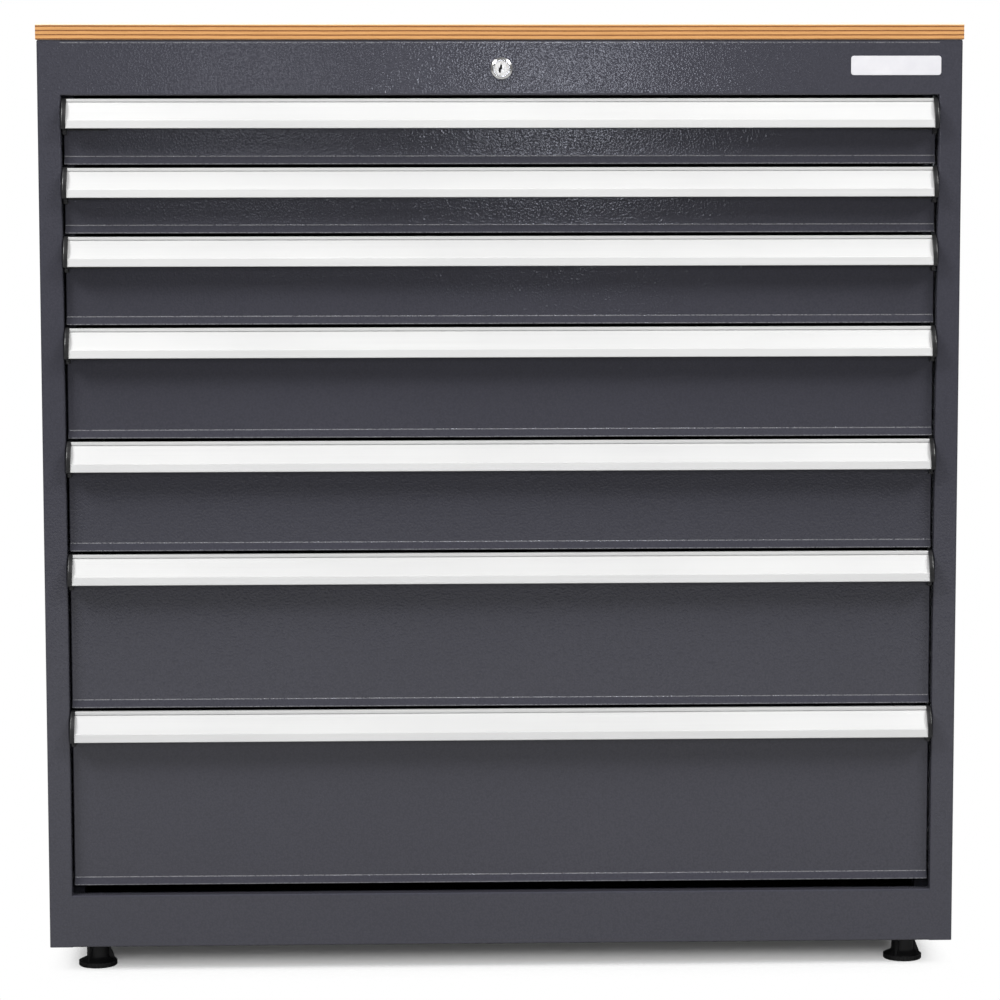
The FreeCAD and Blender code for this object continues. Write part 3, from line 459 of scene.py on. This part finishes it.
def nickel_plate(name, smoothest, metal, shade_beyond=NEVER):
    """Nickel with fine turning marks round the lock's axis; black past a given depth is painted shade."""
    shader = Shader(name, Metallic=metal)
    x, y, z = shader.axes(shader.place(shift=(0.0, 0.0, -(LOCK_LEVEL / 1000 + BODY_BOTTOM))))
    radius = (x * x + z * z).math("SQRT")
    rings = (radius * 9000.0).math("SINE") * 0.5 + 0.5
    cloud = shader.noise(shader.place(), 300.0, 3.0, 0.6)
    bright = shader.ramp(cloud, (0.3, (0.66, 0.65, 0.64)), (0.7, (0.78, 0.78, 0.78)))
    # Painted shade: black in the keyway behind the given depth.
    shade_from = FRONT_PLANE + PLUG_FRONT / 1000 + shade_beyond
    inside = shader.span(y, shade_from, shade_from + SHADE_DEPTH)
    return shader.set(
        Base_Color=shader.mix(inside, bright, (0.012, 0.012, 0.012)),
        Roughness=shader.span(cloud, 0.3, 0.7, smoothest, smoothest + 0.08),
        Normal=shader.bump(rings, 0.000004, 0.3),
    )


PLY_PITCH = 0.0046
VENEER_FROM = 0.0156
VENEER_WHOLE = 0.0166


def birch_plywood():
    """Plywood board: brown crossed plies between pale ones on the edge, birch figure on the face.

    A ply's place is its height in the board over the pitch of two plies. The dark ones are the share
    of the pitch in which end grain shows, and their line wanders by the noise added to the height.
    """
    lacquer = {"Coat_Weight": 0.12, "Coat_Roughness": 0.3, "Specular_IOR_Level": 0.3}
    shader = Shader("lacquered plywood", **lacquer)
    z = shader.axes(shader.place())[2]
    bottom = BODY_HEIGHT / 1000 + BODY_BOTTOM
    drift = shader.noise(shader.place((1.6, 1.6, 0.0)), 1.0, 1.0, 0.5)
    wander = shader.noise(shader.place((60.0, 60.0, 0.0)), 1.0, 2.0, 0.5)
    height = z - bottom + drift * 0.0030 + wander * 0.0004
    turn = (height / PLY_PITCH).math("FRACT")
    dark = shader.span(turn, 0.30, 0.38) * (1.0 - shader.span(turn, 0.62, 0.70))
    pores = shader.noise(shader.place((900.0, 900.0, 900.0)), 1.0, 2.0, 0.6)
    streaks = shader.noise(shader.place((30.0, 30.0, 1600.0)), 1.0, 3.0, 0.6)
    light_ply = shader.ramp(streaks, (0.3, (0.39, 0.187, 0.060)), (0.7, (0.51, 0.262, 0.092)))
    dark_ply = shader.ramp(pores, (0.3, (0.13, 0.046, 0.011)), (0.7, (0.20, 0.075, 0.020)))
    veneer = shader.span(z, bottom + VENEER_FROM, bottom + VENEER_WHOLE)
    edge = shader.mix(veneer, shader.mix(dark, light_ply, dark_ply), (0.72, 0.62, 0.50))
    figure = shader.noise(shader.place((2.2, 26.0, 1.0)), 1.0, 5.0, 0.62, 0.8)
    flecks = shader.noise(shader.place((40.0, 700.0, 1.0)), 1.0, 3.0, 0.6)
    face = shader.ramp(
        figure * 0.7 + flecks * 0.3,
        (0.30, (0.47, 0.31, 0.16)),
        (0.52, (0.56, 0.40, 0.23)),
        (0.75, (0.61, 0.46, 0.29)),
    )
    facing = shader.axes(shader.node("ShaderNodeNewGeometry", output="Normal"))[2]
    on_face = shader.span(facing.math("ABSOLUTE"), 0.6, 0.8)
    shade = shader.mix(on_face, edge, face)
    relief = dark * (1.0 - on_face) * -0.6 + pores * 0.3
    return shader.set(
        Base_Color=shade,
        Roughness=shader.span(pores, 0.3, 0.7, 0.42, 0.58),
        Normal=shader.bump(relief, 0.00012, 0.5),
    )


def bare_plate():
    """White printed plate with nothing on it: a smooth gloss film."""
    shader = Shader("bare white plate", Coat_Weight=0.5, Coat_Roughness=0.08)
    cloud = shader.noise(shader.place(), 60.0, 3.0, 0.5)
    shade = shader.ramp(cloud, (0.3, (0.50, 0.495, 0.52)), (0.7, (0.54, 0.535, 0.555)))
    return shader.set(Base_Color=shade, Roughness=0.35, Normal=shader.bump(cloud, 0.00004, 0.2))


ANTHRACITE = (0.0362, 0.0362, 0.0460)
# The header's top bend, 3 mm under the top of the body, carries the painted highlight line.
HEADER_BEND = BODY_HEIGHT - 3.0
PAINT = powder_coat("anthracite powder coat", ANTHRACITE)
HEADER_PAINT = powder_coat("anthracite powder coat on the header", ANTHRACITE, [HEADER_BEND])
GRIP = drawn_aluminium()
BLACK = moulded_black("moulded black plastic", 0.36, 0.45)
FOOT = moulded_black("foot plastic", 0.5, 0.25)
ZINC = zinc_plate()
NICKEL = nickel_plate("polished nickel", 0.13, 0.93)
# The plug's keyway gets painted shade from just behind its face.
BRUSHED = nickel_plate("brushed nickel", 0.24, 0.48, JUST_INSIDE)
WOOD = birch_plywood()
PLATE = bare_plate()

SLOT_MATERIALS = {
    "paint": PAINT,
    "grip": GRIP,
    "black_plastic": BLACK,
    "board": WOOD,
    "zinc_steel": ZINC,
    "chrome": NICKEL,
}

OWN_MATERIALS = {"top_pan": HEADER_PAINT}
SLOT_OF_NODE = {row["node"]: row["material_slot"] for row in frame["record"]["subparts"]}
for node, item in frame["nodes"].items():
    material = FOOT if node.startswith("foot") else SLOT_MATERIALS[SLOT_OF_NODE[node]]
    item.data.materials.clear()
    item.data.materials.append(OWN_MATERIALS.get(node, material))


# Drawer pieces


LIP_FRONT = 7.0
FACE_FRONT = 10.0
FRONT_BACK = 28.0
CREASE_LEVEL = 9.1
FRONT_RADII = (1.0, 0.4, 0.4, 1.2, 4.0)


def front_section(number):
    """Side view of a folded front: a flat face, a soft crease and a lip that slopes outwards below it."""
    high = front_height(number)
    back = [(FRONT_BACK, 0.0), (FRONT_BACK, high)]
    face = [(FACE_FRONT, high), (FACE_FRONT, CREASE_LEVEL)]
    return section([(LIP_FRONT, 0.0), *back, *face], FRONT_RADII)


def bend_share(front):
    """1 at the points on a front's crease, 0.6 on its lower bend and 0 elsewhere: the painted highlight's
    share.
    """
    y, z = front[0][:, 1], front[0][:, 2]
    crease = (abs(z - CREASE_LEVEL) < 0.4) & (y < FACE_FRONT + 0.05)
    fold = (z < 1.35) & (z > 0.3) & (y < LIP_FRONT + 1.4)
    return np.where(crease, 1.0, np.where(fold, 0.6, 0.0))


HANDLE_SECTION = section(
    [
        (8.2, -30.0), (10.0, -30.0), (10.0, 0.0), (2.5, 0.0), (2.5, -3.2), (3.5, -3.2), (3.5, -4.2),
        (2.0, -4.2), (-9.4, -23.0), (-10.6, -23.3), (-12.0, -32.2), (-10.2, -32.2), (-9.4, -24.8),
        (4.3, -6.0), (6.1, -1.8), (8.2, -1.8),
    ],
    [0.4, 0.2, 0.2, 0.6, 0.3, 0.2, 0.2, 0.3, 0.3, 0.6, 0.7, 0.5, 0.6, 0.6, 0.6, 0.6],
    rest=0.03,
)

CAP_SECTION = section(
    [
        (10.0, 1.0), (3.6, 1.0), (-2.6, -4.5), (-7.4, -10.5), (-10.6, -17.0), (-12.5, -24.5),
        (-12.7, -30.0), (-11.2, -33.0), (2.5, -34.4), (2.5, -38.8), (10.0, -38.8),
    ],
    [0.5, 2.5, 12.0, 14.0, 16.0, 16.0, 2.4, 1.5, 0.4, 0.5, 0.5],
    rest=0.05,
)

TONGUE_SECTION = section(
    [(5.3, -34.4), (8.15, -34.4), (8.15, -26.0), (5.3, -26.0)],
    [0.4, 0.2, 0.2, 0.4],
    steps=3,
    rest=0.05,
)
TONGUE_FROM = HANDLE_HALF - 46.0
TONGUE_TO = HANDLE_HALF + 1.0

for number in range(1, DRAWERS + 1):
    body = f"drawer_{number}"
    level = cell_level(number)
    top = level + front_height(number)
    front = carried(front_section(number), -FRONT_HALF, FRONT_HALF, 1.2, 1.2)
    pan = moved(front, z=level)
    make_piece(f"{body}_pan", pan, PAINT, body, [f"{body}_front"], edge=bend_share(front))
    grip = carried(HANDLE_SECTION, -HANDLE_HALF, HANDLE_HALF, 0.15, 0.15, steps=3, rest=0.05)
    make_piece(f"{body}_grip", moved(grip, z=top), GRIP, body, [f"{body}_handle"])
    cap = carried(CAP_SECTION, HANDLE_HALF, CAP_HALF, 0.2, 1.7)
    tongue = carried(TONGUE_SECTION, TONGUE_FROM, TONGUE_TO, 0.3, 0.1, steps=3)
    right = joined(cap, tongue)
    caps = joined(right, mirrored(right))
    make_piece(f"{body}_caps", moved(caps, z=top), BLACK, body, [f"{body}_end_caps"])


# Lock and plate in the header

BARREL_BACK = 20.0
BORE = 8.56
PLUG_RADIUS = 8.5
PLUG_BACK = 22.5
TAIL_RADIUS = 4.0
TAIL_BACK = 25.0
KEYWAY_MIDDLE = np.array([-1.3, -0.3])
KEYWAY_DEPTH = 12.0

BEZEL_PROFILE = [
    (BORE, BARREL_BACK), (BORE, -0.6), (9.02, -0.6), (9.02, -2.9), (9.08, -3.2), (9.2, -3.36), (9.4, -3.4),
    (9.6, -3.32), (10.1, -3.08), (10.6, -2.82), (11.1, -2.53), (11.5, -2.24), (11.8, -1.9),
    (11.95, -1.5), (12.0, -1.1), (12.0, -0.02), (9.5, -0.02), (9.5, BARREL_BACK), (BORE, BARREL_BACK),
]

KEYWAY = np.array([
    (-1.9, -4.4), (0.5, -4.4), (0.5, -1.2), (1.7, -1.2), (1.7, 4.2), (-0.5, 4.2), (-0.5, 1.3), (-1.9, 1.3),
])


def keyway_spokes(steps=96):
    """Points of the keyway's outline and of the plug's rim that lie on the same spokes, in turn.

    The spokes u start at the keyway's middle c. They go to even places on the rim of radius r and to
    the outline's corners. A spoke crosses the side from a along b at cross(a, b) / cross(u, b), of
    which the least that lies on its side counts, and meets the rim at sqrt((u.c)^2 - c.c + r^2) - u.c.
    """
    turn = np.arange(steps) * 2 * math.pi / steps
    even = PLUG_RADIUS * np.stack([np.cos(turn), np.sin(turn)], 1) - KEYWAY_MIDDLE
    ends = np.concatenate([even, KEYWAY])
    angles = np.unique(np.round(np.arctan2(ends[:, 1], ends[:, 0]), 6))
    spokes = np.stack([np.cos(angles), np.sin(angles)], 1)
    sides = np.roll(KEYWAY, -1, 0) - KEYWAY
    starts = KEYWAY[:, 0] * sides[:, 1] - KEYWAY[:, 1] * sides[:, 0]
    turns = spokes[:, :1] * sides[:, 1] - spokes[:, 1:] * sides[:, 0]
    far = starts / np.where(abs(turns) < 1e-9, 1e-9, turns)
    hits = far[..., None] * spokes[:, None] - KEYWAY
    share = (hits * sides).sum(2) / (sides ** 2).sum(1)
    far = np.where((far > 0) & (share > -1e-4) & (share < 1.0001), far, 99.0).min(1)
    along = spokes @ KEYWAY_MIDDLE
    reach = np.sqrt(along ** 2 - KEYWAY_MIDDLE @ KEYWAY_MIDDLE + PLUG_RADIUS ** 2) - along
    return spokes * far[:, None], unit(KEYWAY_MIDDLE + reach[:, None] * spokes)


def lock_plug():
    """The turning plug: a disc with a stepped keyway sunk in its face, and a tail for the cam."""
    outline, round_rim = keyway_spokes()
    rings = [
        (round_rim * TAIL_RADIUS, TAIL_BACK),
        (round_rim * TAIL_RADIUS, PLUG_BACK),
        (round_rim * PLUG_RADIUS, PLUG_BACK),
        (round_rim * PLUG_RADIUS, PLUG_FRONT + 0.3),
        (round_rim * (PLUG_RADIUS - 0.1), PLUG_FRONT + 0.08),
        (round_rim * (PLUG_RADIUS - 0.35), PLUG_FRONT),
        (KEYWAY_MIDDLE + outline * 1.05, PLUG_FRONT),
        (KEYWAY_MIDDLE + outline, PLUG_FRONT + 0.25),
        (KEYWAY_MIDDLE + outline, PLUG_FRONT + KEYWAY_DEPTH),
    ]
    points = np.concatenate([
        np.column_stack([ring[:, 0], np.full(len(ring), depth), ring[:, 1]]) for ring, depth in rings
    ])
    count = len(outline)
    floor = (np.arange(count) + (len(rings) - 1) * count)[None]
    back = np.arange(count)[None, ::-1]
    return points, [grid_faces(len(rings), count), floor, back]


bezel = moved(lathed(BEZEL_PROFILE[::-1]), z=LOCK_LEVEL)
make_piece("lock_bezel", bezel, NICKEL, "cabinet", ["lock_housing"], 30.0)
plug = moved(lock_plug(), z=LOCK_LEVEL)
make_piece("lock_face", plug, BRUSHED, "lock", ["lock_plug"], 30.0)


LABEL_HALF_WIDTH = 49.5
LABEL_HALF_HEIGHT = 10.5
LABEL_CORNER = 3.2
LABEL_THICKNESS = 0.7
LABEL_MIDDLE = (431.8, 975.4)
HAIR_GAP = 0.01


def label_plate():
    """A bare plate with rounded corners and front edge, stuck on the header's right end.

    Its outline is carried along x like any section, then x is turned to point out of the header.
    """
    across, up = LABEL_HALF_WIDTH, LABEL_HALF_HEIGHT
    corners = [(-across, -up), (across, -up), (across, up), (-across, up)]
    outline = section(corners, [LABEL_CORNER] * 4, steps=9)
    points, faces = carried(outline, 0.0, LABEL_THICKNESS, 0.02, 0.25, steps=4, rest=0.02)
    turned = np.stack([points[:, 1], -points[:, 0], points[:, 2]], 1)
    return moved((turned, faces), x=LABEL_MIDDLE[0], y=-HAIR_GAP, z=LABEL_MIDDLE[1])


make_piece("label_plate", label_plate(), PLATE, "cabinet")

# Studio

CAMERA_PLACE = Vector((-0.1174, -3.6906 + FRONT_PLANE, 0.8821 + BODY_BOTTOM))
CAMERA_YAW = math.radians(1.785)
CAMERA_PITCH = math.radians(5.915)
CAMERA_ROLL = math.radians(-0.075)
FOCAL_PIXELS = 3361.4
FRAME_PIXELS = 1000.0
SENSOR_WIDTH = 36.0


def look_through_camera():
    """Camera at the photograph's viewpoint: it looks along +Y, turned right, tipped down and rolled."""
    data = bpy.data.cameras.new("camera")
    data.sensor_width = SENSOR_WIDTH
    data.lens = FOCAL_PIXELS / FRAME_PIXELS * SENSOR_WIDTH
    data.clip_start = 0.1
    data.clip_end = 100.0
    camera = bpy.data.objects.new("camera", data)
    upright = Matrix.Rotation(math.pi / 2, 4, "X")
    turn = Matrix.Rotation(-CAMERA_YAW, 4, "Z")
    tip = Matrix.Rotation(-CAMERA_PITCH, 4, "X")
    roll = Matrix.Rotation(CAMERA_ROLL, 4, "Z")
    camera.matrix_world = Matrix.Translation(CAMERA_PLACE) @ turn @ upright @ tip @ roll
    bpy.context.scene.collection.objects.link(camera)
    bpy.context.scene.camera = camera


def soft_light(name, place, target, width, height, power, mirrored_too=True):
    """A rectangular softbox at place that faces target, seen in reflections or not."""
    data = bpy.data.lights.new(name, "AREA")
    data.shape = "RECTANGLE"
    data.size = width
    data.size_y = height
    data.energy = power
    light = bpy.data.objects.new(name, data)
    light.location = place
    light.rotation_euler = (Vector(target) - Vector(place)).to_track_quat("-Z", "Y").to_euler()
    light.visible_glossy = mirrored_too
    bpy.context.scene.collection.objects.link(light)
    return light


def stage_plane(name, half_x, near, far, level, material):
    """A flat piece of the studio's floor, from near to far along y."""
    mesh = bpy.data.meshes.new(name)
    corners = [(-half_x, near, level), (half_x, near, level), (half_x, far, level), (-half_x, far, level)]
    mesh.from_pydata(corners, [], [(0, 1, 2, 3)])
    mesh.materials.append(material)
    plane = bpy.data.objects.new(name, mesh)
    bpy.context.scene.collection.objects.link(plane)
    return plane


FLOOR_REACH = 6.0
SHADOW_LIFT = 0.0002
SHADOW_SHARE = 0.95


def studio_floor():
    """A pale floor that only gives light back, and over it the soft shadow under the cabinet.

    The shadow is a floor that only the camera sees. Its alpha is the product of smooth steps that rise
    inwards from each side of the cabinet's footprint, so outside it the white backdrop shows.
    """
    pale = Shader("pale studio floor", Roughness=0.9)
    cloud = pale.noise(pale.place(), 2.0, 2.0, 0.5)
    pale.set(Base_Color=pale.ramp(cloud, (0.3, (0.29, 0.29, 0.29)), (0.7, (0.33, 0.33, 0.33))))
    giver = stage_plane("floor", FLOOR_REACH, -FLOOR_REACH, FLOOR_REACH, 0.0, pale.material)
    giver.visible_camera = False

    shade = Shader("floor in shadow", Roughness=0.9, Specular_IOR_Level=0.0)
    cloud = shade.noise(shade.place(), 2.0)
    grey = shade.ramp(cloud, (0.3, (0.50, 0.50, 0.50)), (0.7, (0.54, 0.54, 0.54)))
    x, y, _ = shade.axes(shade.place())
    share = shade.smooth(x.math("ABSOLUTE"), 0.515, 0.44)
    share = share * shade.smooth(y, FRONT_PLANE - 0.059, FRONT_PLANE + 0.101) * SHADOW_SHARE
    share = share * shade.smooth(y, FRONT_PLANE + 0.78, FRONT_PLANE + 0.62)
    shade.set(Base_Color=grey, Alpha=share)
    near, far = FRONT_PLANE - 0.08, FRONT_PLANE + 0.82
    shadow = stage_plane("shadow under the cabinet", 0.56, near, far, SHADOW_LIFT, shade.material)
    shadow.visible_diffuse = False
    shadow.visible_glossy = False
    shadow.visible_transmission = False
    shadow.visible_shadow = False


def studio_world(backdrop, room):
    """White to the camera, so the backdrop is clean, and dim to everything that it lights."""
    world = bpy.data.worlds.new("studio")
    bpy.context.scene.world = world
    world.use_nodes = True
    tree = world.node_tree
    seen = tree.nodes.new("ShaderNodeLightPath")
    strength = tree.nodes.new("ShaderNodeMapRange")
    tree.links.new(seen.outputs["Is Camera Ray"], strength.inputs["Value"])
    strength.inputs["To Min"].default_value = room
    strength.inputs["To Max"].default_value = backdrop
    light = tree.nodes["Background"]
    light.inputs["Color"].default_value = (1.0, 1.0, 1.0, 1.0)
    tree.links.new(strength.outputs["Result"], light.inputs["Strength"])


MIDDLE = (0.0, FRONT_PLANE, 0.55)
HEADER_MIDDLE = (0.0, FRONT_PLANE, 1.0)
BEFORE_IT = (0.0, -0.5, 0.0)
BACK_MIDDLE = (0.0, 0.36, 0.5)
BACKDROP_STRENGTH = 1.0
ROOM_STRENGTH = 0.12
LAMP_SIZE = 0.16
LAMPS = ((0.25, 1.8), (-0.42, 0.6))
LAMP_TINT = (0.84, 0.88, 1.0)

look_through_camera()
studio_floor()
studio_world(BACKDROP_STRENGTH, ROOM_STRENGTH)
soft_light("left softbox", (-3.0, -2.42, 3.73), MIDDLE, 1.6, 1.6, 215.0)
soft_light("right softbox", (3.0, -2.42, 3.73), MIDDLE, 1.6, 1.6, 175.0)
soft_light("overhead softbox", (0.0, -1.3, 4.5), BEFORE_IT, 3.6, 1.5, 110.0, False)
soft_light("low fill", (0.0, -4.2, 1.3), MIDDLE, 5.0, 1.2, 73.0, False)
for lamp_x, lamp_power in LAMPS:
    place = (lamp_x, -4.05, 1.06)
    lamp = soft_light("small lamp by the camera", place, HEADER_MIDDLE, LAMP_SIZE, LAMP_SIZE, lamp_power)
    lamp.data.color = LAMP_TINT
back_light = soft_light("light behind", (-1.2, 3.6, 1.5), BACK_MIDDLE, 2.0, 2.0, 75.0, False)
back_light.visible_camera = False

bpy.context.scene.view_settings.view_transform = "Standard"
